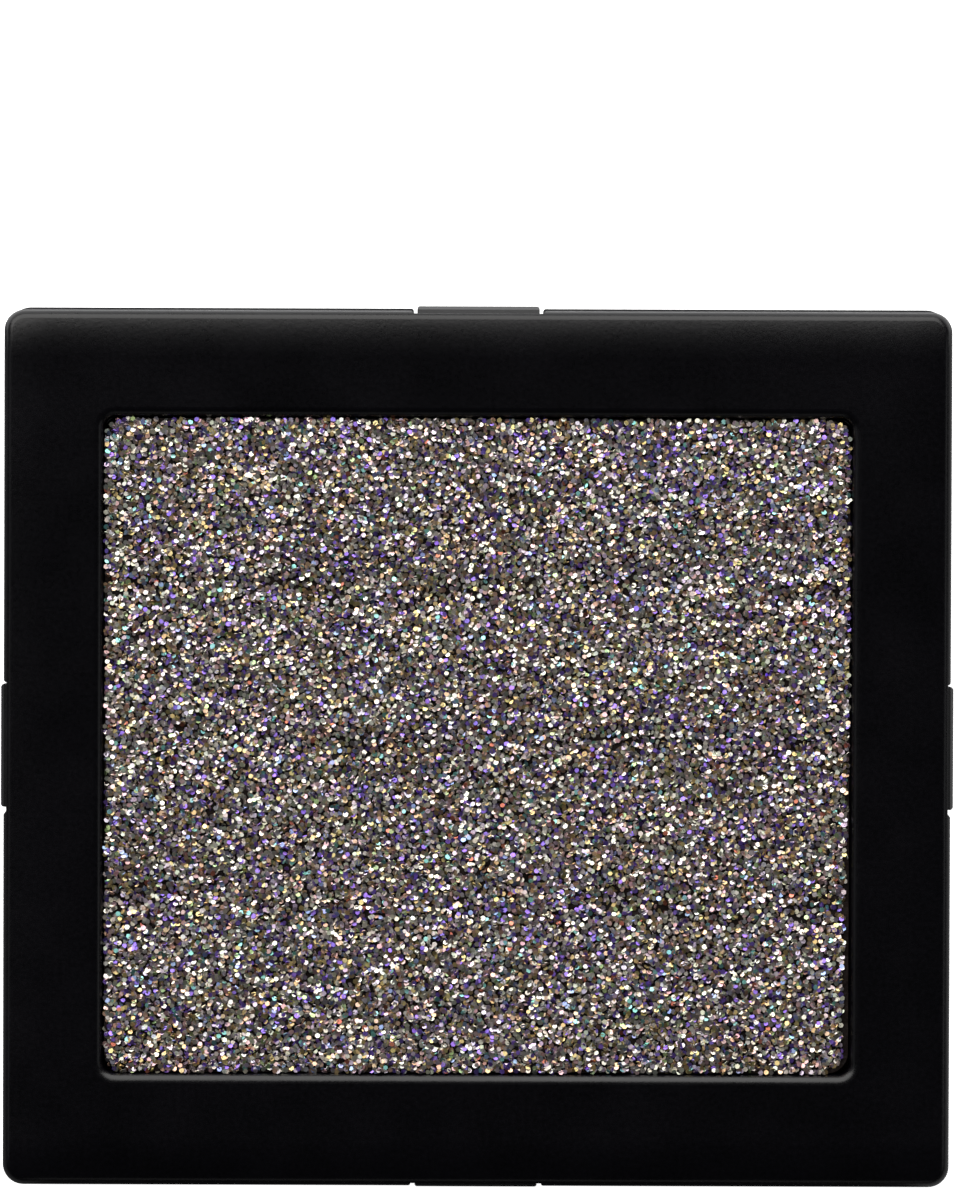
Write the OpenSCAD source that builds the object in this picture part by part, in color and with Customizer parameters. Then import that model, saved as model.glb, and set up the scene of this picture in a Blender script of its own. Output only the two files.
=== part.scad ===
// Click-in eyeshadow cartridge: a black frame round one pan of pressed glitter.
// Millimetres, +Z up. The origin is at the middle of the underside.
// +Y is the rear, -Y the front, -X the left and +X the right.

/* [Body] */
// Width across the left and right walls
body_w = 34.4; // [30:0.1:50]
// Depth across the front and rear walls
body_d = 31.8; // [28:0.1:50]
// Height from the underside to the top face
body_h = 6.4; // [5.2:0.1:9]
// Radius of the upright outer corners
corner_r = 0.75; // [0.5:0.05:1.5]
// Radius of the rounded edge round the top face
edge_r = 0.3; // [0.1:0.05:0.4]
// Thickness of the bezel's outer wall
skirt_t = 1; // [0.9:0.05:1.2]
// Thickness of the bezel's top plate
top_t = 1.1; // [0.8:0.05:1.4]

/* [Window] */
// Width of the frame at the left and right of the window
border_side = 3.65; // [3:0.05:5]
// Mean width of the frame in front of and behind the window
border_end = 4; // [3:0.05:5]
// How far the window lies to the rear of the middle
window_shift = 0.1; // [0:0.05:0.15]
// Radius of the window's corners
window_r = 0.4; // [0.3:0.05:0.8]
// Radius that rounds the window's upper edge over
window_edge_r = 0.4; // [0.1:0.05:0.4]
// How far the glitter lies below the frame's top face
cake_recess = 0.15; // [0.1:0.05:0.6]
// Radius of the glitter's own corners in the window
cake_corner_r = 0.75; // [0.4:0.05:1]

/* [Pan] */
// How far the pan runs under the frame on each side of the window
pan_tuck = 0.6; // [0.5:0.05:0.8]
// Sheet thickness of the pan
pan_t = 0.3; // [0.2:0.05:0.4]
// Outer radius of the pan's upright corners
pan_r = 1.6; // [1.2:0.1:2]
// Thickness of the foam ring under the pan
pad_t = 0.7; // [0.4:0.05:0.9]
// Width of the foam ring
pad_w = 4; // [3:0.1:6]

/* [Base tray] */
// Thickness of the tray's floor
floor_t = 1.2; // [1:0.05:1.5]
// Thickness of the wall round the pan
well_t = 0.7; // [0.5:0.05:0.8]
// Diameter of the hole for pushing the pan out
push_hole_d = 4; // [2:0.1:5]
// Diameter of the pegs that locate the bezel on the tray
peg_d = 1.2; // [0.9:0.1:1.5]

/* [Snap tongues] */
// Length of each tongue along its side
tongue_w = 4.45; // [3.5:0.05:6]
// Thickness of a tongue
tongue_t = 0.7; // [0.55:0.05:0.85]
// Gap between a tongue's end and the wall beside it
slit_w = 0.15; // [0.1:0.05:0.4]
// How far a tongue's snap bump stands out of the wall
bump_out = 0.15; // [0.1:0.05:0.3]
// How far the top plate's rim is cut back above a tongue
rim_cut = 0.1; // [0.05:0.05:0.15]

/* [Label] */
// Width of the label under the tray
label_w = 22; // [14:0.5:24]
// Depth of the label from front to rear
label_d = 7; // [5:0.5:8]

/* [Hidden] */
$fn = 48;

// Clearances
slip = 0.1;       // between the tray and the skirt, and over the pan's rim
pan_gap = 0.15;   // round the pan
peg_fit = 0.03;   // radial, peg in socket
pivot_fit = 0.03; // radial, tongue root in its groove
cake_gap = 0.08;  // between the glitter and the window's wall
over = 1;         // how far a cutter runs past the face it cuts
sunk = 0.12;      // how far a solid runs into the one it grows from

// Window and lip
window_w = body_w - 2 * border_side;
window_d = body_d - 2 * border_end;
plate_z = body_h - top_t;

// Skirt and tray outline
skirt_in_w = body_w - 2 * skirt_t;
skirt_in_d = body_d - 2 * skirt_t;
skirt_in_r = 0.4;
tray_w = skirt_in_w - 2 * slip;
tray_d = skirt_in_d - 2 * slip;
tray_r = 0.5;

// Pan, cake and well
pan_w = window_w + 2 * pan_tuck;
pan_d = window_d + 2 * pan_tuck;
pan_z = floor_t + pad_t;
rim_z = plate_z - slip;
pan_floor_bevel = 0.3;
well_w = pan_w + 2 * pan_gap;
well_d = pan_d + 2 * pan_gap;
well_r = pan_r + pan_gap;
ridge_drop = 0.5;
ridge_t = 0.6;
wall_top_z = plate_z - ridge_drop - 2 * slip;

// Pegs and their sockets
socket_r = peg_d / 2 + peg_fit;
boss_r = socket_r + 0.57;
peg_x = tray_w / 2 - boss_r;
peg_y = tray_d / 2 - boss_r;
peg_end_z = plate_z - 0.55 * (plate_z - floor_t);
socket_end_z = peg_end_z - 0.3;
peg_tip = 0.15;

// Foam ring under the pan
pad_inset = 1.2;

// Ribs between the well and the edge of the tray
rib_t = 0.6;
rib_h = 0.45 * (plate_z - floor_t);
rib_place = 0.27;

// Label and the recess it sits in
label_t = 0.12;
recess_t = 0.15;
recess_gap = 0.15;
label_y = -(push_hole_d / 2 + 1.5 + recess_gap + label_d / 2);
label_r = 0.8;

// Snap tongues, drawn as a profile that stands out of the wall along +X
root_r = 0.25;
root_in = 0.45;
root_z = floor_t;
tongue_top_z = plate_z - 2 * slip;
shoulder_in = 0.12;
shoulder = 0.16;
tongue_end_r = 0.1;
slit_r = 0.1;
bump_top_z = tongue_top_z - 0.5;
bump_flat = 0.2;
bump_ramp = 0.9;
notch_w = tongue_w + 2 * slit_w;

// Outlines and rounded blocks

module rounded_rect(w, d, r) {
    square([w - 2 * r, d], center = true);
    square([w, d - 2 * r], center = true);
    at_corners(w / 2 - r, d / 2 - r) circle(r);
}

module rounded_block(w, d, r, z0, z1) {
    translate([0, 0, z0]) linear_extrude(z1 - z0) rounded_rect(w, d, r);
}

module at_corners(x, y) {
    for (sx = [-1, 1], sy = [-1, 1]) translate([sx * x, sy * y, 0]) children();
}

// Block whose top edge is rounded all the way round with radius e
module soft_top_block(w, d, r, e, h) {
    rounded_block(w, d, r, 0, h - e);
    rounded_block(w - 2 * e, d - 2 * e, r - e, 0, h);
    for (s = [-1, 1]) {
        translate([0, s * (d / 2 - e), h - e]) rotate([0, 90, 0])
            cylinder(r = e, h = w - 2 * r, center = true);
        translate([s * (w / 2 - e), 0, h - e]) rotate([90, 0, 0])
            cylinder(r = e, h = d - 2 * r, center = true);
    }
    at_corners(w / 2 - r, d / 2 - r) translate([0, 0, h - e])
        rotate_extrude() translate([r - e, 0]) intersection() {
            circle(e);
            translate([0, -e]) square([e, 2 * e]);
        }
}

// Rounded block that widens by its own height c towards the top: cuts or makes a 45 degree bevel
module flared_block(w, d, r, c, z0) {
    translate([0, 0, z0]) {
        linear_extrude(c) rounded_rect(w, d, r);
        at_corners(w / 2 - r, d / 2 - r) cylinder(r1 = r, r2 = r + c, h = c);
        for (a = [0, 180]) {
            rotate([0, 0, a]) flare_run(w - 2 * r, d / 2, c);
            rotate([0, 0, a + 90]) flare_run(d - 2 * r, w / 2, c);
        }
    }
}

// One straight stretch of the bevel, along X and facing +Y
module flare_run(length, y, c) {
    rotate([90, 0, 90]) translate([0, 0, -length / 2])
        linear_extrude(length) polygon([[y - c, 0], [y, 0], [y + c, c], [y - c, c]]);
}

// Section that rounds an edge over when it is cut away: +X is into the face beside the edge
module round_over_section(e) {
    difference() {
        translate([-e / 2, 0]) square([1.5 * e, e + over]);
        translate([e, 0]) circle(e);
    }
}

// Cutter that rounds the window's upper edge over all the way round
module window_round_over(e) {
    at_corners(window_w / 2 - window_r, window_d / 2 - window_r)
        rotate_extrude() translate([window_r, 0]) round_over_section(e);
    for (a = [0, 180]) {
        rotate([0, 0, a]) round_over_run(window_w - 2 * window_r, window_d / 2, e);
        rotate([0, 0, a + 90]) round_over_run(window_d - 2 * window_r, window_w / 2, e);
    }
}

// One straight stretch of that cutter, along X and facing +Y
module round_over_run(length, y, e) {
    rotate([90, 0, 90]) translate([y, 0, -length / 2])
        linear_extrude(length) round_over_section(e);
}

// Puts a child drawn on the +X wall on one of the four sides
module on_side(angle) {
    reach = (angle % 180 == 0) ? body_w / 2 : body_d / 2;
    rotate([0, 0, angle]) translate([reach, 0, 0]) children();
}

// Frame with the window, skirt, locating ridge and pegs
module bezel() {
    color("#16171b") {
        difference() {
            soft_top_block(body_w, body_d, corner_r, edge_r, body_h);
            rounded_block(skirt_in_w, skirt_in_d, skirt_in_r, -over, plate_z);
            translate([0, window_shift, 0]) {
                rounded_block(window_w, window_d, window_r, plate_z - over, body_h + over);
                translate([0, 0, body_h - window_edge_r]) window_round_over(window_edge_r);
            }
            for (angle = [0:90:270]) on_side(angle) tongue_notch();
        }
        difference() {
            rounded_block(well_w + 2 * ridge_t, well_d + 2 * ridge_t, well_r + ridge_t,
                plate_z - ridge_drop, plate_z + sunk);
            rounded_block(well_w, well_d, well_r, plate_z - ridge_drop - over, body_h);
        }
        at_corners(peg_x, peg_y) peg();
    }
}

// Opening in the skirt round one tongue, with the shallow cut in the rim above it
module tongue_notch() {
    translate([-skirt_t - slip, -notch_w / 2, -over])
        cube([skirt_t + slip + over, notch_w, plate_z + over]);
    translate([-rim_cut, -notch_w / 2, plate_z - over])
        cube([rim_cut + over, notch_w, top_t + 2 * over]);
    for (s = [0, 1]) mirror([0, s, 0]) translate([-slit_r, notch_w / 2, -over])
        linear_extrude(body_h + 2 * over) rotate([0, 0, -90]) mirror([1, 0, 0])
            round_over_section(slit_r);
}

// Round peg under the top plate, with a bevelled tip
module peg() {
    translate([0, 0, peg_end_z + peg_tip])
        cylinder(d = peg_d, h = plate_z + sunk - peg_end_z - peg_tip);
    translate([0, 0, peg_end_z])
        cylinder(d1 = peg_d - 2 * peg_tip, d2 = peg_d, h = peg_tip);
}

// Base with the well round the pan, the peg sockets and the roots of the tongues
module base_tray() {
    color("#141518") difference() {
        union() {
            rounded_block(tray_w, tray_d, tray_r, 0, floor_t);
            rounded_block(well_w + 2 * well_t, well_d + 2 * well_t, well_r + well_t,
                0, wall_top_z);
            at_corners(peg_x, peg_y) cylinder(r = boss_r, h = wall_top_z);
            for (angle = [0:90:270]) on_side(angle) {
                tongue_ear();
                for (s = [-1, 1]) rib(s * rib_place * body_d);
            }
        }
        rounded_block(well_w, well_d, well_r, floor_t, body_h);
        at_corners(peg_x, peg_y) translate([0, 0, socket_end_z])
            cylinder(r = socket_r, h = body_h);
        translate([0, 0, -over]) cylinder(d = push_hole_d, h = floor_t + 2 * over);
        translate([0, label_y, 0])
            rounded_block(label_w + 2 * recess_gap, label_d + 2 * recess_gap,
                label_r + recess_gap, -over, recess_t);
        for (angle = [0:90:270]) on_side(angle) tongue_groove();
    }
}

// Ear of the tray that fills the foot of a notch and carries a tongue
module tongue_ear() {
    translate([-skirt_t - 2 * slip, -tongue_w / 2, 0])
        cube([skirt_t + 2 * slip, tongue_w, floor_t]);
}

// Groove across an ear, in which the tongue's root turns
module tongue_groove() {
    translate([-root_in, 0, root_z]) rotate([90, 0, 0])
        cylinder(r = root_r + pivot_fit, h = notch_w, center = true);
}

// Upright rib that ties the well's wall to the tray's floor
module rib(y) {
    translate([-border_side + pan_tuck, y - rib_t / 2, 0])
        cube([border_side - pan_tuck - skirt_t - 2 * slip, rib_t, floor_t + rib_h]);
}

// Drawn metal pan with a bevelled foot
module pan() {
    color("#b9bcc0") difference() {
        pan_body(pan_w, pan_d, pan_r, pan_z, rim_z);
        pan_body(pan_w - 2 * pan_t, pan_d - 2 * pan_t, pan_r - pan_t, pan_z + pan_t, body_h);
    }
}

module pan_body(w, d, r, z0, z1) {
    c = pan_floor_bevel;
    flared_block(w - 2 * c, d - 2 * c, r - c, c, z0);
    rounded_block(w, d, r, z0 + c, z1);
}

// Pressed glitter that fills the pan to its rim and stands up into the window
module glitter_cake() {
    color("#6d6362") {
        pan_body(pan_w - 2 * pan_t, pan_d - 2 * pan_t, pan_r - pan_t, pan_z + pan_t, rim_z);
        translate([0, window_shift, 0])
            rounded_block(window_w - 2 * cake_gap, window_d - 2 * cake_gap, cake_corner_r,
                rim_z - sunk, body_h - cake_recess);
    }
}

// Foam ring that sticks the pan to the tray's floor
module adhesive_pad() {
    ring_w = pan_w - 2 * pad_inset;
    ring_d = pan_d - 2 * pad_inset;
    color("#e6e3da") difference() {
        rounded_block(ring_w, ring_d, pan_r, floor_t, pan_z);
        rounded_block(ring_w - 2 * pad_w, ring_d - 2 * pad_w, pan_r, 0, body_h);
    }
}

// Blank paper label in the recess under the tray
module back_label() {
    color("#e9e8e4") translate([0, label_y, 0])
        rounded_block(label_w, label_d, label_r, recess_t - label_t, recess_t);
}

// Springy tongue with a snap bump and a bevelled shoulder near its free upper end
module snap_tongue() {
    color("#16171b") intersection() {
        translate([0, tongue_w / 2, 0]) rotate([90, 0, 0]) linear_extrude(tongue_w) {
            translate([-root_in, root_z]) circle(root_r);
            polygon([
                [-root_in - root_r, root_z],
                [-root_in + root_r, root_z],
                [0, root_z + 2 * root_r],
                [0, bump_top_z - bump_flat - bump_ramp],
                [bump_out, bump_top_z - bump_flat],
                [bump_out, bump_top_z],
                [shoulder - shoulder_in, tongue_top_z - shoulder],
                [-shoulder_in, tongue_top_z],
                [-tongue_t, tongue_top_z]
            ]);
        }
        translate([bump_out - body_h / 2, 0, 0]) linear_extrude(body_h)
            rounded_rect(body_h, tongue_w, tongue_end_r);
    }
}

bezel();
base_tray();
pan();
glitter_cake();
adhesive_pad();
back_label();
on_side(0) snap_tongue();  // right_snap_tongue
on_side(90) snap_tongue();  // rear_snap_tongue
on_side(180) snap_tongue();  // left_snap_tongue
on_side(270) snap_tongue();  // front_snap_tongue
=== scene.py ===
"""Looks of the click-in eyeshadow cartridge: materials, pressed glitter, foam ring, studio and camera."""

import math

import bpy
import numpy as np
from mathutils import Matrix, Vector


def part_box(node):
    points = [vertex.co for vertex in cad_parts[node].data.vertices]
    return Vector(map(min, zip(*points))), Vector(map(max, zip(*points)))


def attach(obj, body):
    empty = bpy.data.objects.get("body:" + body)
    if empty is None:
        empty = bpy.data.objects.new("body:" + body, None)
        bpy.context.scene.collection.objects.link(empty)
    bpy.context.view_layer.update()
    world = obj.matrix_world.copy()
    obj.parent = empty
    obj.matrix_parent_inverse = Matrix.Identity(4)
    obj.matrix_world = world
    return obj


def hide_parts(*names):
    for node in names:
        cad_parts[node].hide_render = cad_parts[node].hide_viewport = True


MM = 0.001

# Pressed glitter
CAKE_CELL = 0.22 * MM  # grid of the binder's surface
CAKE_DROP = 0.09 * MM  # from the top of the CAD cake down to the binder's mean level
CAKE_FOOT = 0.3 * MM  # bevel round the foot, as on the pan
CAKE_SHOULDER = 1.05 * MM  # from the glitter's top down to the pan's rim
CAKE_STEP = 0.33 * MM  # how much further out it reaches in the pan than in the window
FLAKE_REACH = 0.05 * MM  # how much further out the flakes lie than the binder's upper part
WINDOW_SHIFT = 0.1 * MM  # how far the window lies to the rear of the pan's middle
CAKE_CORNER_R = 0.75 * MM
PAN_INNER_R = 1.3 * MM
FLAKE_W = 0.165 * MM  # across the flats
FLAKE_T = 0.016 * MM
FLAKE_PITCH = 0.150 * MM  # mean distance between neighbouring flakes of the upper layer
UNDER_PITCH = 0.205 * MM  # and of the layer half hidden below it
FLAKE_TILT = math.radians(23)
FLAKE_TILT_MOST = math.radians(58)
SLANT = 0.018  # how the glitter recedes from the right wall, towards the front
SLANT_FROM = 1.7 * MM
SEED = 41
BAKE_MAP = "OFBake"  # flakes bring their own UV map: one small cell each
BAKE_FACE = 0.30  # how far a flake's face reaches from the middle of its cell, as a share of the cell
BAKE_SIDE = 0.42  # and how far its sides do

# How uneven the top of the cake is
BROAD_RISE = 0.022 * MM
SHORT_RISE = 0.016 * MM
RISE_MOST = 0.045 * MM
STREAK_DEPTH = 0.07 * MM
SLOPE_STEP = 0.04 * MM

# Scraped lines across the cake, in millimetres: place towards the rear, width, and depth from 0 to 1
SCRAPES = ((5.7, 0.5, 0.7), (0.2, 0.4, 0.55), (-5.8, 0.6, 0.8))
SCRAPE_SWAY = 0.25
SCRAPE_TURN = 0.45

# Pit near its left edge, in millimetres, and its depth as a share of STREAK_DEPTH
PIT_PLACE = (-12.6, 3.9)
PIT_SIZE = (0.35, 0.28)
PIT_DEPTH = 1.3

# Layers of flakes: spacing, height over the binder's surface, and spread of their tilt
FLAKE_LAYERS = (
    (UNDER_PITCH, -0.005 * MM, 1.35 * FLAKE_TILT),
    (FLAKE_PITCH, 0.03 * MM, FLAKE_TILT),
)
FLAKE_LIFT = (-0.015, 0.03)  # how far single flakes lie off their layer, in millimetres
WINDOW_SLACK = 0.03 * MM  # how far a flake may reach past the glitter's outline

# How the bezel's top face curves down towards its outer edge
RIM_BAND = 1.7 * MM
RIM_DROP = 0.25 * MM

# Foam ring under the pan
FOAM_W = 4 * MM
FOAM_CORNER_R = 1.6 * MM
FOAM_PULL = 0.10 * MM  # how far its cut sides pull in
FOAM_DENT = 0.012 * MM
FOAM_SIDE_STEPS = 6
FOAM_FACE_STEPS = 12

# Camera: almost straight above, from a little to the rear
CAMERA_FAR = 0.48
CAMERA_LEAN = math.radians(2)
CAMERA_LENS = 499.1
CAMERA_ROLL = math.radians(0.2)
AIM_REAR = 5.565 * MM  # the cartridge sits low in the picture
AIM_SIDE = -0.08 * MM

# Studio, in metres
WORLD_STRENGTH = 0.03
FLOOR_SIZE = 24
LAMP_AIM = (0, 0, 0.005)
WARM = (1.0, 0.99, 0.97)
COOL = (0.97, 0.98, 1.0)

# Low cards beside the cartridge that face up, in place of the floor's reflection: name, x, y, radiance
CARDS = (("card_rear", 0, 0.1, 1.3), ("card_left", -0.1, 0, 0.15), ("card_right", 0.1, 0, 0.4))
CARD_SIZE = (0.165, 0.165)
CARD_Z = 0.0005

# Blacks of the mouldings: the darker and the lighter tone of each
BEZEL_BLACK = (0.0002, 0.0001, 0.0006), (0.0015, 0.0012, 0.0024)
TRAY_BLACK = (0.0020, 0.0020, 0.0024), (0.0050, 0.0050, 0.0058)
TONGUE_BLACK = (0.0014, 0.0014, 0.0018), (0.0034, 0.0034, 0.0042)


# ---------------------------------------------------------------- node helpers


def new_material(name):
    """A material, its node tree, its shader and the object coordinates in metres."""
    mat = bpy.data.materials.new(name)
    mat.use_nodes = True
    tree = mat.node_tree
    shader = tree.nodes["Principled BSDF"]
    place = tree.nodes.new("ShaderNodeTexCoord").outputs["Object"]
    return mat, tree, shader, place


def stretched(tree, place, scale):
    node = tree.nodes.new("ShaderNodeMapping")
    node.inputs["Scale"].default_value = scale
    tree.links.new(place, node.inputs["Vector"])
    return node.outputs["Vector"]


def noise(tree, place, size, detail=3.0, roughness=0.55):
    """Noise whose features are about this many metres across."""
    node = tree.nodes.new("ShaderNodeTexNoise")
    node.noise_type = "FBM"
    node.normalize = True
    node.inputs["Scale"].default_value = 1 / size
    node.inputs["Detail"].default_value = detail
    node.inputs["Roughness"].default_value = roughness
    tree.links.new(place, node.inputs["Vector"])
    return node.outputs["Fac"]


def cells(tree, place, size, feature="DISTANCE_TO_EDGE"):
    node = tree.nodes.new("ShaderNodeTexVoronoi")
    node.feature = feature
    node.inputs["Scale"].default_value = 1 / size
    tree.links.new(place, node.inputs["Vector"])
    return node.outputs["Distance"]


def spread(tree, value, low, high, from_low=0.3, from_high=0.7):
    node = tree.nodes.new("ShaderNodeMapRange")
    for name, number in (("From Min", from_low), ("From Max", from_high),
                         ("To Min", low), ("To Max", high)):
        node.inputs[name].default_value = number
    tree.links.new(value, node.inputs["Value"])
    return node.outputs["Result"]


def join(tree, a, b, how="MULTIPLY"):
    """Two values joined by one operation of maths; each may be a number or a socket."""
    node = tree.nodes.new("ShaderNodeMath")
    node.operation = how
    for value, socket in ((a, node.inputs[0]), (b, node.inputs[1])):
        if isinstance(value, (int, float)):
            socket.default_value = value
        else:
            tree.links.new(value, socket)
    return node.outputs["Value"]


def mix(tree, fac, a, b):
    """Two colours mixed by a value; each may be an RGB tuple or a socket."""
    node = tree.nodes.new("ShaderNodeMix")
    node.data_type = "RGBA"
    for value, socket in ((fac, node.inputs["Factor"]), (a, node.inputs["A"]), (b, node.inputs["B"])):
        if isinstance(value, (int, float)):
            socket.default_value = value
        elif isinstance(value, tuple):
            socket.default_value = (*value, 1)
        else:
            tree.links.new(value, socket)
    return node.outputs["Result"]


def bump(tree, shader, height, depth, under=None):
    """Relief of this many metres from a height that runs from 0 to 1, on top of another bump's normal."""
    node = tree.nodes.new("ShaderNodeBump")
    node.inputs["Distance"].default_value = depth
    tree.links.new(height, node.inputs["Height"])
    if under:
        tree.links.new(under, node.inputs["Normal"])
    tree.links.new(node.outputs["Normal"], shader.inputs["Normal"])
    return node.outputs["Normal"]


def fall_to_rim(tree, place, half_w, half_d, band):
    """Height that is 1 on a plate and curves down to 0 along its outer edges, as moulded plates do."""
    apart = tree.nodes.new("ShaderNodeSeparateXYZ")
    tree.links.new(place, apart.inputs["Vector"])
    height = 1.0
    for axis, half in (("X", half_w), ("Y", half_d)):
        near = spread(tree, join(tree, apart.outputs[axis], 0, "ABSOLUTE"), 0, 1, half - band, half)
        height = join(tree, height, join(tree, near, near), "SUBTRACT")
    return height


def edges(tree, radius, low=0.86, high=0.995):
    """1 along the piece's sharp edges and 0 on its flat faces."""
    bevel = tree.nodes.new("ShaderNodeBevel")
    bevel.samples = 4
    bevel.inputs["Radius"].default_value = radius
    geometry = tree.nodes.new("ShaderNodeNewGeometry")
    dot = tree.nodes.new("ShaderNodeVectorMath")
    dot.operation = "DOT_PRODUCT"
    tree.links.new(bevel.outputs["Normal"], dot.inputs[0])
    tree.links.new(geometry.outputs["Normal"], dot.inputs[1])
    return spread(tree, dot.outputs["Value"], 1.0, 0.0, low, high)


# ---------------------------------------------------------------- materials


def moulded_black(name, dark, light, rough, grain=0.16 * MM, relief=0.0045 * MM, plate=None):
    """Satin black plastic from a spark-eroded mould: cloudy, finely grained, rubbed pale on its edges."""
    mat, tree, shader, place = new_material(name)
    cloud = noise(tree, place, 3.5 * MM, 4, 0.6)
    grit = noise(tree, place, grain, 3, 0.6)
    fine = noise(tree, place, 0.05 * MM, 2)
    tone = mix(tree, spread(tree, join(tree, cloud, grit, "ADD"), 0, 1, 0.75, 1.25), dark, light)
    worn = join(tree, edges(tree, 0.05 * MM), spread(tree, cloud, 0, 0.6, 0.42, 0.62))
    rubbed = tuple(2.6 * c for c in light)
    tree.links.new(mix(tree, worn, tone, rubbed), shader.inputs["Base Color"])
    fine_shine = spread(tree, grit, rough - 0.02, rough + 0.02)
    shine = join(tree, fine_shine, spread(tree, cloud, -0.02, 0.02), "ADD")
    tree.links.new(shine, shader.inputs["Roughness"])
    shader.inputs["Specular IOR Level"].default_value = 0.36
    crown = plate and bump(tree, shader, fall_to_rim(tree, place, *plate, RIM_BAND), RIM_DROP)
    bump(tree, shader, join(tree, grit, join(tree, fine, 0.35), "ADD"), relief, crown)
    return mat


def drawn_tinplate(name):
    """Tinned sheet steel drawn into a pan: die streaks up the walls, cloudy tin, fine scratches."""
    mat, tree, shader, place = new_material(name)
    cloud = noise(tree, place, 2.2 * MM, 4)
    streak = noise(tree, stretched(tree, place, (1, 1, 0.06)), 0.09 * MM, 3)
    scratch = noise(tree, stretched(tree, place, (0.03, 1, 1)), 0.05 * MM, 2)
    tone = mix(tree, spread(tree, cloud, 0, 1), (0.50, 0.51, 0.53), (0.72, 0.73, 0.74))
    tone = mix(tree, spread(tree, streak, 0, 0.5, 0.5, 0.75), tone, (0.36, 0.36, 0.37))
    tree.links.new(tone, shader.inputs["Base Color"])
    shader.inputs["Metallic"].default_value = 1.0
    shine = join(tree, spread(tree, streak, 0.2, 0.36), spread(tree, cloud, -0.04, 0.06), "ADD")
    tree.links.new(shine, shader.inputs["Roughness"])
    bump(tree, shader, join(tree, streak, join(tree, scratch, 0.6), "ADD"), 0.002 * MM)
    return mat


def blank_label(name):
    """Uncoated white paper: felted fibres, faint flecks, a little grubby round its edge."""
    mat, tree, shader, place = new_material(name)
    felt = noise(tree, stretched(tree, place, (0.35, 1, 1)), 0.12 * MM, 5, 0.65)
    cloud = noise(tree, place, 2.6 * MM, 3)
    fleck = cells(tree, place, 0.5 * MM, "F1")
    tone = mix(tree, spread(tree, cloud, 0, 1), (0.74, 0.73, 0.69), (0.83, 0.82, 0.79))
    tone = mix(tree, spread(tree, felt, 0.35, 0), tone, (0.62, 0.60, 0.55))
    tone = mix(tree, spread(tree, fleck, 0.5, 0, 0.03, 0.09), tone, (0.42, 0.38, 0.33))
    grubby = join(tree, edges(tree, 0.12 * MM, 0.8, 0.99), 0.35)
    tree.links.new(mix(tree, grubby, tone, (0.45, 0.43, 0.39)), shader.inputs["Base Color"])
    tree.links.new(spread(tree, felt, 0.78, 0.92), shader.inputs["Roughness"])
    bump(tree, shader, felt, 0.008 * MM)
    return mat


def closed_cell_foam(name):
    """Off-white foam tape: round cells cut open at its faces, each cell's hollow middle darkened with
    painted shade.
    """
    mat, tree, shader, place = new_material(name)
    cell = cells(tree, place, 0.16 * MM)
    cloud = noise(tree, place, 1.6 * MM, 3)
    tone = mix(tree, spread(tree, cloud, 0, 1), (0.66, 0.63, 0.55), (0.80, 0.78, 0.71))
    # Painted shade: the middle of each cut-open cell, where the bump sinks, is mixed towards a darker
    # tone.
    tone = mix(tree, spread(tree, cell, 0, 0.55, 0.02, 0.3), tone, (0.46, 0.43, 0.37))
    tree.links.new(tone, shader.inputs["Base Color"])
    tree.links.new(spread(tree, cloud, 0.62, 0.78), shader.inputs["Roughness"])
    bump(tree, shader, spread(tree, cell, 1, 0, 0.0, 0.4), 0.03 * MM)
    return mat


def dark_binder(name):
    """The oily brown-black binder that shows between the flakes."""
    mat, tree, shader, place = new_material(name)
    cloud = noise(tree, place, 0.9 * MM, 4)
    grit = noise(tree, place, 0.07 * MM, 3)
    tone = mix(tree, spread(tree, cloud, 0, 1), (0.004, 0.003, 0.003), (0.015, 0.009, 0.007))
    tone = mix(tree, spread(tree, grit, 0, 0.6, 0.55, 0.75), tone, (0.035, 0.025, 0.028))
    tree.links.new(tone, shader.inputs["Base Color"])
    tree.links.new(spread(tree, grit, 0.35, 0.6), shader.inputs["Roughness"])
    shader.inputs["Specular IOR Level"].default_value = 0.15
    bump(tree, shader, grit, 0.012 * MM)
    return mat


def glitter_film(name):
    """Cut metallised film. Each flake has its own tint, slightly clouded by the binder on it."""
    mat, tree, shader, place = new_material(name)
    tint = tree.nodes.new("ShaderNodeAttribute")
    tint.attribute_name = "flake_tint"
    smear = noise(tree, place, 0.11 * MM, 2)
    smeared = spread(tree, smear, 0, 0.3, 0.5, 0.75)
    clouded = mix(tree, smeared, tint.outputs["Color"], (0.10, 0.08, 0.085))
    tree.links.new(clouded, shader.inputs["Base Color"])
    tree.links.new(spread(tree, smear, 0.29, 0.44), shader.inputs["Roughness"])
    shader.inputs["Metallic"].default_value = 0.92
    return mat


def paper_floor(name):
    """White sweep that also glows, so that it stays white right up to the cartridge."""
    mat, tree, shader, place = new_material(name)
    tone = mix(tree, noise(tree, place, 60 * MM, 3), (0.86, 0.86, 0.86), (0.90, 0.90, 0.90))
    tree.links.new(tone, shader.inputs["Base Color"])
    shader.inputs["Roughness"].default_value = 0.9
    shader.inputs["Emission Color"].default_value = (1, 1, 1, 1)
    shader.inputs["Emission Strength"].default_value = 1.0
    return mat


def wear(node, material):
    """Gives a CAD node the material in all its slots."""
    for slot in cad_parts[node].material_slots:
        slot.material = material


# ---------------------------------------------------------------- pressed glitter


def rounded_corner(u, v):
    """Takes a square of side 1 to a quarter disc: the way a grid goes round a corner."""
    return u * np.sqrt(1 - v * v / 2), v * np.sqrt(1 - u * u / 2)


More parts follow.
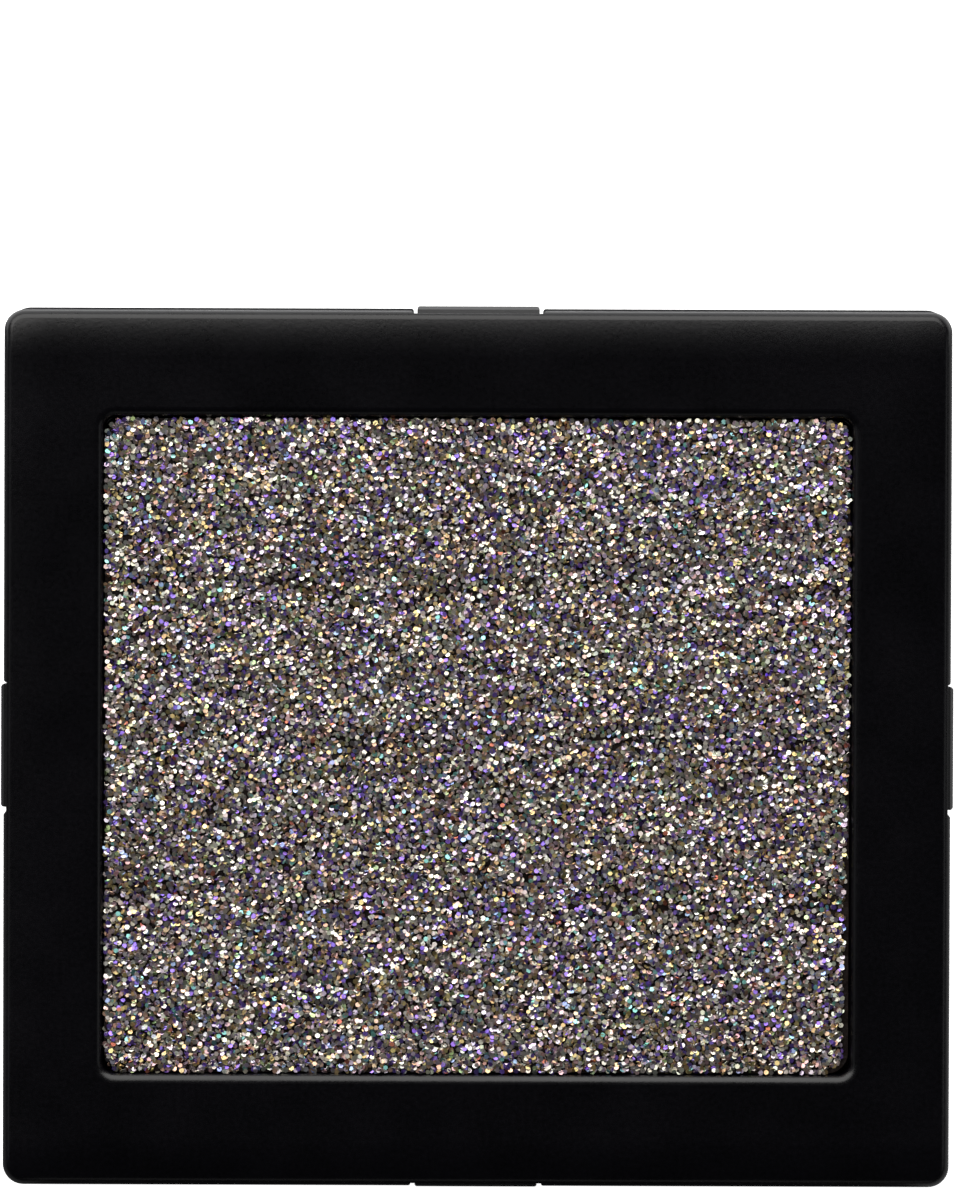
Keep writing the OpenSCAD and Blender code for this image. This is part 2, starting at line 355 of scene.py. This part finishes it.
def rounded_grid(half_w, half_d, radius, cell):
    """A grid over a rounded rectangle, as X and Y arrays of its points."""

    def line(half):
        inner = max(2, round(2 * (half - radius) / cell))
        corner = max(3, round(radius / cell))
        return np.concatenate([
            np.linspace(-half, -(half - radius), corner, endpoint=False),
            np.linspace(-(half - radius), half - radius, inner, endpoint=False),
            np.linspace(half - radius, half, corner + 1),
        ])

    x, y = np.meshgrid(line(half_w), line(half_d), indexing="ij")
    over_x = np.clip((np.abs(x) - (half_w - radius)) / radius, 0, 1)
    over_y = np.clip((np.abs(y) - (half_d - radius)) / radius, 0, 1)
    round_x, round_y = rounded_corner(over_x, over_y)
    x = x + np.sign(x) * (round_x - over_x) * radius
    y = y + np.sign(y) * (round_y - over_y) * radius
    return x, y


def waves(rng, count, shortest, longest):
    """Random plane waves: their directions and lengths as vectors, their phases and their heights."""
    length = np.exp(rng.uniform(math.log(shortest), math.log(longest), count))
    turn = rng.uniform(0, 2 * math.pi, count)
    vectors = np.stack([np.cos(turn), np.sin(turn)], 1) * (2 * math.pi / length)[:, None]
    heights = (length / longest) ** 0.6
    return vectors, rng.uniform(0, 2 * math.pi, count), heights / np.sqrt((heights**2).sum() / 2)


def rolling(pack, x, y):
    """Sum of the waves at these points: 0 on average, with a standard deviation of about 1."""
    vectors, phases, heights = pack
    total = np.zeros_like(x)
    for (vx, vy), phase, height in zip(vectors, phases, heights):
        total += height * np.sin(vx * x + vy * y + phase)
    return total


def streaks(x, y, ripple):
    """Depth of the scraped lines across the cake and of its pit, as a share of STREAK_DEPTH."""
    depth = np.zeros_like(x)
    for at, wide, deep in SCRAPES:
        wander = y / MM - at - SCRAPE_SWAY * np.sin(x / MM * SCRAPE_TURN + at)
        depth = np.maximum(depth, deep * np.exp(-((wander / wide) ** 2)))
    depth *= np.clip(0.55 + 0.6 * rolling(ripple, x, y), 0, 1)
    pit_x = (x / MM - PIT_PLACE[0]) / PIT_SIZE[0]
    pit_y = (y / MM - PIT_PLACE[1]) / PIT_SIZE[1]
    return np.maximum(depth, np.exp(-(pit_x**2 + pit_y**2)) * PIT_DEPTH)


class Surface:
    """The uneven top of the cake: its height, and how sparsely the flakes lie on it."""

    def __init__(self, rng, top):
        self.top = top
        self.broad = waves(rng, 18, 2.5 * MM, 12 * MM)
        self.short = waves(rng, 24, 0.5 * MM, 1.6 * MM)
        self.ripple = waves(rng, 10, 2 * MM, 9 * MM)

    def height(self, x, y):
        rise = BROAD_RISE * rolling(self.broad, x, y) + SHORT_RISE * rolling(self.short, x, y)
        return self.top + np.minimum(rise, RISE_MOST) - STREAK_DEPTH * streaks(x, y, self.ripple)

    def slope(self, x, y):
        """Rise per metre towards +X and towards +Y."""
        here, step = self.height(x, y), SLOPE_STEP
        return (self.height(x + step, y) - here) / step, (self.height(x, y + step) - here) / step

    def bare(self, x, y):
        patch = np.clip(0.5 + 0.6 * rolling(self.short, x, y), 0, 1)
        return 0.10 * patch + 0.38 * streaks(x, y, self.ripple)


def mesh_object(name, points, faces, material):
    mesh = bpy.data.meshes.new(name)
    mesh.from_pydata(points, [], faces)
    mesh.validate()
    piece = bpy.data.objects.new(name, mesh)
    piece.data.materials.append(material)
    bpy.context.scene.collection.objects.link(piece)
    return piece


def moved_outline(outline, start, end):
    """The outline of one rounded rectangle laid on another; each is (half width, half depth, radius)."""
    moved = []
    for x, y in outline:
        flat_x, flat_y = start[0] - start[2], start[1] - start[2]
        near_x, near_y = max(-flat_x, min(flat_x, x)), max(-flat_y, min(flat_y, y))
        moved.append((near_x / flat_x * (end[0] - end[2]) + (x - near_x) / start[2] * end[2],
                      near_y / flat_y * (end[1] - end[2]) + (y - near_y) / start[2] * end[2]))
    return moved


def binder_cake(surface, low, high, material):
    """The closed block of binder: an uneven top, a step at the pan's rim, and a bevelled foot."""
    half_w, half_d = (high.x - low.x) / 2, (high.y - low.y) / 2
    upper = (half_w - CAKE_STEP, half_d - CAKE_STEP, CAKE_CORNER_R)
    x, y = rounded_grid(*upper, CAKE_CELL)
    rows, columns = x.shape
    index = np.arange(rows * columns).reshape(rows, columns)
    points = [tuple(p) for p in np.stack([x, y + WINDOW_SHIFT, surface.height(x, y)], -1).reshape(-1, 3)]
    faces = np.stack([index[:-1, :-1], index[1:, :-1], index[1:, 1:], index[:-1, 1:]], -1)
    faces = [tuple(f) for f in faces.reshape(-1, 4).tolist()]

    rim = np.concatenate([index[:-1, 0], index[-1, :-1], index[:0:-1, -1], index[0, :0:-1]]).tolist()
    outline = [(points[i][0], points[i][1] - WINDOW_SHIFT) for i in rim]
    step_z = high.z - CAKE_SHOULDER
    in_pan = (half_w, half_d, PAN_INNER_R)
    foot = (half_w - CAKE_FOOT, half_d - CAKE_FOOT, PAN_INNER_R - CAKE_FOOT)
    above = rim
    for shape, shift, height in ((upper, WINDOW_SHIFT, step_z), (in_pan, 0, step_z),
                                 (in_pan, 0, low.z + CAKE_FOOT), (foot, 0, low.z)):
        ring = list(range(len(points), len(points) + len(rim)))
        points += [(px, py + shift, height) for px, py in moved_outline(outline, upper, shape)]
        for a in range(len(rim)):
            b = (a + 1) % len(rim)
            faces.append((above[a], ring[a], ring[b], above[b]))
        above = ring
    faces.append(tuple(reversed(above)))
    return mesh_object("binder_cake", points, faces, material)


# Film colours as linear RGB, with how common each is
FILMS = (
    ((0.97, 0.92, 0.80), 41),  # silver
    ((0.85, 0.73, 0.87), 15),  # lilac silver
    ((0.95, 0.74, 0.34), 10),  # gold
    ((0.95, 0.63, 0.44), 8),  # peach
    ((0.90, 0.58, 0.58), 6),  # pink
    ((0.34, 0.21, 0.84), 10),  # violet
    ((0.42, 0.52, 0.88), 3),  # blue
    ((0.36, 0.80, 0.76), 2.5),  # aqua
    ((0.64, 0.84, 0.42), 2),  # green
    ((0.74, 0.24, 0.16), 0.8),  # copper red
)


def film_tints(rng, count):
    weights = np.array([w for _, w in FILMS], float)
    picks = rng.choice(len(FILMS), count, p=weights / weights.sum())
    tints = np.array([c for c, _ in FILMS])[picks]
    tints = tints * rng.uniform(0.35, 1.0, (count, 1)) * rng.uniform(0.9, 1.08, (count, 3))
    return np.clip(tints, 0, 1)


def scattered(rng, half_w, half_d, pitch):
    """Jittered points over a rectangle."""
    row = pitch * math.sqrt(3) / 2
    nx, ny = int(2 * half_w / pitch) + 2, int(2 * half_d / row) + 2
    i, j = np.meshgrid(np.arange(nx), np.arange(ny), indexing="ij")
    x = (-half_w + (i + 0.5 * (j % 2)) * pitch).ravel()
    y = (-half_d + j * row).ravel()
    x += rng.normal(0, 0.33 * pitch, x.shape)
    y += rng.normal(0, 0.33 * pitch, y.shape)
    return x, y


def flake_frames(rng, x, y, z, slope, tilt):
    """Centres and three axes of flakes that lie about along the surface, turned and tipped at random."""
    count = len(x)
    tip = np.abs(rng.normal(0, tilt, count)) + rng.exponential(tilt * 0.35, count)
    tip = np.minimum(tip, FLAKE_TILT_MOST)
    way = rng.uniform(0, 2 * math.pi, count)
    turn = rng.uniform(0, math.pi / 3, count)
    lean_x, lean_y = np.sin(tip) * np.cos(way), np.sin(tip) * np.sin(way)
    normal = np.stack([lean_x - slope[0], lean_y - slope[1], np.cos(tip)], 1)
    normal /= np.linalg.norm(normal, axis=1, keepdims=True)
    side = np.stack([np.cos(turn), np.sin(turn), np.zeros(count)], 1)
    side -= normal * (side * normal).sum(1, keepdims=True)
    side /= np.linalg.norm(side, axis=1, keepdims=True)
    return np.stack([x, y, z], 1), side, np.cross(normal, side), normal


def hexagon_points(centres, side, across, normal, sizes):
    """The twelve corners of each flake, six on top and six underneath."""
    points = []
    for level in (0.5, -0.5):
        for k in range(6):
            angle = k * math.pi / 3
            reach = side * math.cos(angle) + across * math.sin(angle)
            points.append(centres + reach * sizes[:, None] + normal * level * FLAKE_T)
    return np.stack(points, 1)


def flake_faces(count):
    top = [0, 1, 2, 3, 4, 5]
    bottom = [11, 10, 9, 8, 7, 6]
    sides = [[6 + k, 6 + (k + 1) % 6, (k + 1) % 6, k] for k in range(6)]
    faces = []
    for i in range(count):
        base = 12 * i
        for face in (top, bottom, *sides):
            faces.append([base + v for v in face])
    return faces


def lay_bake_cells(mesh, count):
    """A UV map with one small square per flake, so that each flake keeps its own tint in a texture."""
    columns = math.ceil(math.sqrt(count))
    cell = 1 / columns
    hexagon = [(math.cos(k * math.pi / 3), math.sin(k * math.pi / 3)) for k in range(6)]
    corners = []
    for u, v in hexagon:  # top
        corners.append((BAKE_FACE * u, BAKE_FACE * v))
    for u, v in reversed(hexagon):  # underneath
        corners.append((BAKE_FACE * u, BAKE_FACE * v))
    for k in range(6):  # sides
        (u0, v0), (u1, v1) = hexagon[k], hexagon[(k + 1) % 6]
        corners += [(BAKE_SIDE * u0, BAKE_SIDE * v0), (BAKE_SIDE * u1, BAKE_SIDE * v1)]
        corners += [(BAKE_FACE * u1, BAKE_FACE * v1), (BAKE_FACE * u0, BAKE_FACE * v0)]
    one = np.array(corners) * cell
    ids = np.arange(count)
    centre = np.stack([(ids % columns + 0.5) * cell, (ids // columns + 0.5) * cell], 1)
    layer = mesh.uv_layers.new(name=BAKE_MAP)
    layer.uv.foreach_set("vector", (centre[:, None, :] + one[None]).astype(np.float32).ravel())


def flake_patch(name, points, tints, material):
    """One object of loose flakes."""
    count = len(points)
    piece = mesh_object(name, points.reshape(-1, 3).tolist(), flake_faces(count), material)
    lay_bake_cells(piece.data, count)
    colour = piece.data.color_attributes.new("flake_tint", "FLOAT_COLOR", "POINT")
    rgba = np.ones((count, 12, 4), np.float32)
    rgba[:, :, :3] = tints[:, None, :]
    colour.data.foreach_set("color", rgba.ravel())
    return piece


def in_window(x, y, half_w, half_d, radius, slack):
    """Which points lie in the glitter's rounded outline, which recedes towards the front right."""
    right = half_w + np.minimum(0, SLANT * (y - SLANT_FROM))
    out_x = np.maximum(np.where(x > 0, x - right, -x - half_w) + radius, 0)
    out_y = np.maximum(np.abs(y) - half_d + radius, 0)
    return np.hypot(out_x, out_y) < radius + slack


def glitter(rng, surface, low, high, material):
    """Two layers of flakes over the cake, in six patches."""
    half_w = (high.x - low.x) / 2 - CAKE_STEP + FLAKE_REACH
    half_d = (high.y - low.y) / 2 - CAKE_STEP + FLAKE_REACH
    batches = []
    for pitch, rise, tilt in FLAKE_LAYERS:
        x, y = scattered(rng, half_w, half_d, pitch)
        kept = rng.uniform(0, 1, len(x)) > surface.bare(x, y)
        x, y = x[kept], y[kept]
        z = surface.height(x, y) + rise + rng.uniform(*FLAKE_LIFT, len(x)) * MM
        sizes = FLAKE_W / math.sqrt(3) * rng.normal(1.0, 0.05, len(x)).clip(0.85, 1.15)
        frames = flake_frames(rng, x, y, z, surface.slope(x, y), tilt)
        batches.append(hexagon_points(*frames, sizes))
    points = np.concatenate(batches)
    flat = points[:, :, 0], points[:, :, 1]
    points = points[in_window(*flat, half_w, half_d, CAKE_CORNER_R, WINDOW_SLACK).all(1)]
    points[:, :, 1] += WINDOW_SHIFT
    tints = film_tints(rng, len(points))
    middle = points.mean(1)
    patches = []
    column = np.clip((middle[:, 0] / half_w + 1) * 1.5, 0, 2).astype(int)
    row = (middle[:, 1] > 0).astype(int)
    for r, y_name in enumerate(("front", "rear")):
        for c, x_name in enumerate(("left", "middle", "right")):
            mine = (row == r) & (column == c)
            name = f"glitter_{y_name}_{x_name}"
            patches.append(flake_patch(name, points[mine], tints[mine], material))
    return patches


# ---------------------------------------------------------------- foam ring


def ring_outline(half_w, half_d, radius, steps=8):
    """Points round a rounded rectangle, anticlockwise."""
    points = []
    for quarter, (sx, sy) in enumerate(((1, 1), (-1, 1), (-1, -1), (1, -1))):
        for k in range(steps + 1):
            angle = math.pi / 2 * (quarter + k / steps)
            points.append((sx * (half_w - radius) + radius * math.cos(angle),
                           sy * (half_d - radius) + radius * math.sin(angle)))
    return points


def dense(outline, gap):
    """The outline with its straight runs cut into short steps."""
    points = []
    for a, b in zip(outline, outline[1:] + outline[:1]):
        steps = max(1, math.ceil(math.dist(a, b) / gap))
        for k in range(steps):
            points.append((a[0] + (b[0] - a[0]) * k / steps, a[1] + (b[1] - a[1]) * k / steps))
    return points


def foam_ring(rng, low, high, material):
    """Foam tape cut to a ring: its cut sides pull in a little, and its faces ripple."""
    half_w, half_d = (high.x - low.x) / 2, (high.y - low.y) / 2
    outer = dense(ring_outline(half_w, half_d, FOAM_CORNER_R), 0.35 * MM)
    thick = high.z - low.z
    section = []  # how far in from the ring's outer side, and how high
    for k in range(FOAM_SIDE_STEPS + 1):
        t = k / FOAM_SIDE_STEPS
        section.append((FOAM_PULL * math.sin(math.pi * t) ** 0.8, t))
    for k in range(1, FOAM_FACE_STEPS):
        section.append((FOAM_W * k / FOAM_FACE_STEPS, 1))
    for k in range(FOAM_SIDE_STEPS + 1):
        t = 1 - k / FOAM_SIDE_STEPS
        section.append((FOAM_W - FOAM_PULL * math.sin(math.pi * t) ** 0.8, t))
    for k in range(FOAM_FACE_STEPS - 1, 0, -1):
        section.append((FOAM_W * k / FOAM_FACE_STEPS, 0))

    inner = moved_outline(outer, (half_w, half_d, FOAM_CORNER_R),
                          (half_w - FOAM_W, half_d - FOAM_W, FOAM_CORNER_R))
    dent = waves(rng, 30, 0.6 * MM, 3 * MM)
    points, faces = [], []
    for inset, level in section:
        share = inset / FOAM_W
        for (ox, oy), (ix, iy) in zip(outer, inner):
            x, y = ox + (ix - ox) * share, oy + (iy - oy) * share
            z = low.z + thick * level
            if 0 < share < 1:
                sink = FOAM_DENT * (1 + rolling(dent, np.array([x]), np.array([y]))[0])
                z += -sink if level == 1 else sink if level == 0 else 0
            points.append((x, y, z))
    count, rings = len(outer), len(section)
    for r in range(rings):
        for k in range(count):
            a, b = r * count, ((r + 1) % rings) * count
            n = (k + 1) % count
            faces.append((a + k, a + n, b + n, b + k))
    ring = mesh_object("foam_ring", points, faces, material)
    ring.data.shade_smooth()
    return ring


# ---------------------------------------------------------------- studio


def softbox(name, place, aim, size, radiance, tint=(1, 1, 1)):
    """A rectangular lamp, brightness given as the radiance of its face."""
    lamp = bpy.data.lights.new(name, "AREA")
    lamp.shape = "RECTANGLE"
    lamp.size, lamp.size_y = size
    lamp.energy = radiance * math.pi * size[0] * size[1]
    lamp.color = tint
    holder = bpy.data.objects.new(name, lamp)
    holder.location = place
    holder.rotation_euler = (Vector(aim) - Vector(place)).to_track_quat("-Z", "Y").to_euler()
    holder.visible_camera = False
    bpy.context.scene.collection.objects.link(holder)


def studio():
    world = bpy.data.worlds.new("studio")
    world.use_nodes = True
    world.node_tree.nodes["Background"].inputs["Color"].default_value = (0.9, 0.95, 1.0, 1)
    world.node_tree.nodes["Background"].inputs["Strength"].default_value = WORLD_STRENGTH
    bpy.context.scene.world = world
    softbox("key_rear_left", (-0.05, 0.27, 0.18), LAMP_AIM, (0.66, 0.34), 3.6, WARM)
    softbox("fill_front", (0.03, -0.30, 0.14), LAMP_AIM, (0.26, 0.10), 0.3)
    softbox("strip_left", (-0.28, 0.02, 0.14), LAMP_AIM, (0.24, 0.10), 0.35, COOL)
    for name, x, y, radiance in CARDS:
        softbox(name, (x, y, CARD_Z), (x, y, 1), CARD_SIZE, radiance)
    softbox("strip_right", (0.29, -0.03, 0.14), LAMP_AIM, (0.24, 0.10), 0.6, COOL)

    bpy.ops.mesh.primitive_plane_add(size=FLOOR_SIZE, location=(0, 0, 0))
    floor = bpy.context.object
    floor.name = "floor"
    floor.data.materials.append(paper_floor("paper_sweep"))
    floor.visible_glossy = False  # its reflection would make the cartridge's edges too bright


def camera(top_z):
    lens = bpy.data.cameras.new("camera")
    lens.sensor_fit = "HORIZONTAL"
    lens.sensor_width = 36
    lens.lens = CAMERA_LENS
    lens.clip_start = 0.01
    holder = bpy.data.objects.new("camera", lens)
    aim = Vector((AIM_SIDE, AIM_REAR, top_z))
    holder.location = aim + CAMERA_FAR * Vector((0, math.sin(CAMERA_LEAN), math.cos(CAMERA_LEAN)))
    holder.rotation_euler = (-CAMERA_LEAN, 0, CAMERA_ROLL)
    bpy.context.scene.collection.objects.link(holder)
    bpy.context.scene.camera = holder


# ---------------------------------------------------------------- assembly

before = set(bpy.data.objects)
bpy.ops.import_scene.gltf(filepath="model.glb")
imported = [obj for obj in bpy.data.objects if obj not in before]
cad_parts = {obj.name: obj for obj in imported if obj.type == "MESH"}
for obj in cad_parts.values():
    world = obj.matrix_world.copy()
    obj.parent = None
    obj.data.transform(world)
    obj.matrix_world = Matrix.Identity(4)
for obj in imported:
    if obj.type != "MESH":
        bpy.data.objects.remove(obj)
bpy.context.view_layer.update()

bpy.context.scene.view_settings.view_transform = "Standard"
camera(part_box("bezel")[1].z)
studio()

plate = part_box("bezel")[1][:2]
wear("bezel", moulded_black("bezel_satin", *BEZEL_BLACK, 0.295, plate=plate))
wear("base_tray", moulded_black("tray_satin", *TRAY_BLACK, 0.46, grain=0.24 * MM, relief=0.006 * MM))
tongue_black = moulded_black("tongue_satin", *TONGUE_BLACK, 0.38)
for side in ("front", "rear", "left", "right"):
    wear(f"{side}_snap_tongue", tongue_black)
wear("pan", drawn_tinplate("pan_tinplate"))
wear("back_label", blank_label("label_uncoated"))

random = np.random.default_rng(SEED)
cake_low, cake_high = (Vector(corner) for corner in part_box("glitter_cake"))
top = Surface(random, cake_high.z - CAKE_DROP)
cake = binder_cake(top, cake_low, cake_high, dark_binder("binder_dark"))
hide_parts("glitter_cake")
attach(cake, "filled_pan")
for patch in glitter(random, top, cake_low, cake_high, glitter_film("film_flakes")):
    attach(patch, "filled_pan")

foam_low, foam_high = (Vector(corner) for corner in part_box("adhesive_pad"))
ring = foam_ring(random, foam_low, foam_high, closed_cell_foam("foam_cells"))
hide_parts("adhesive_pad")
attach(ring, "base")
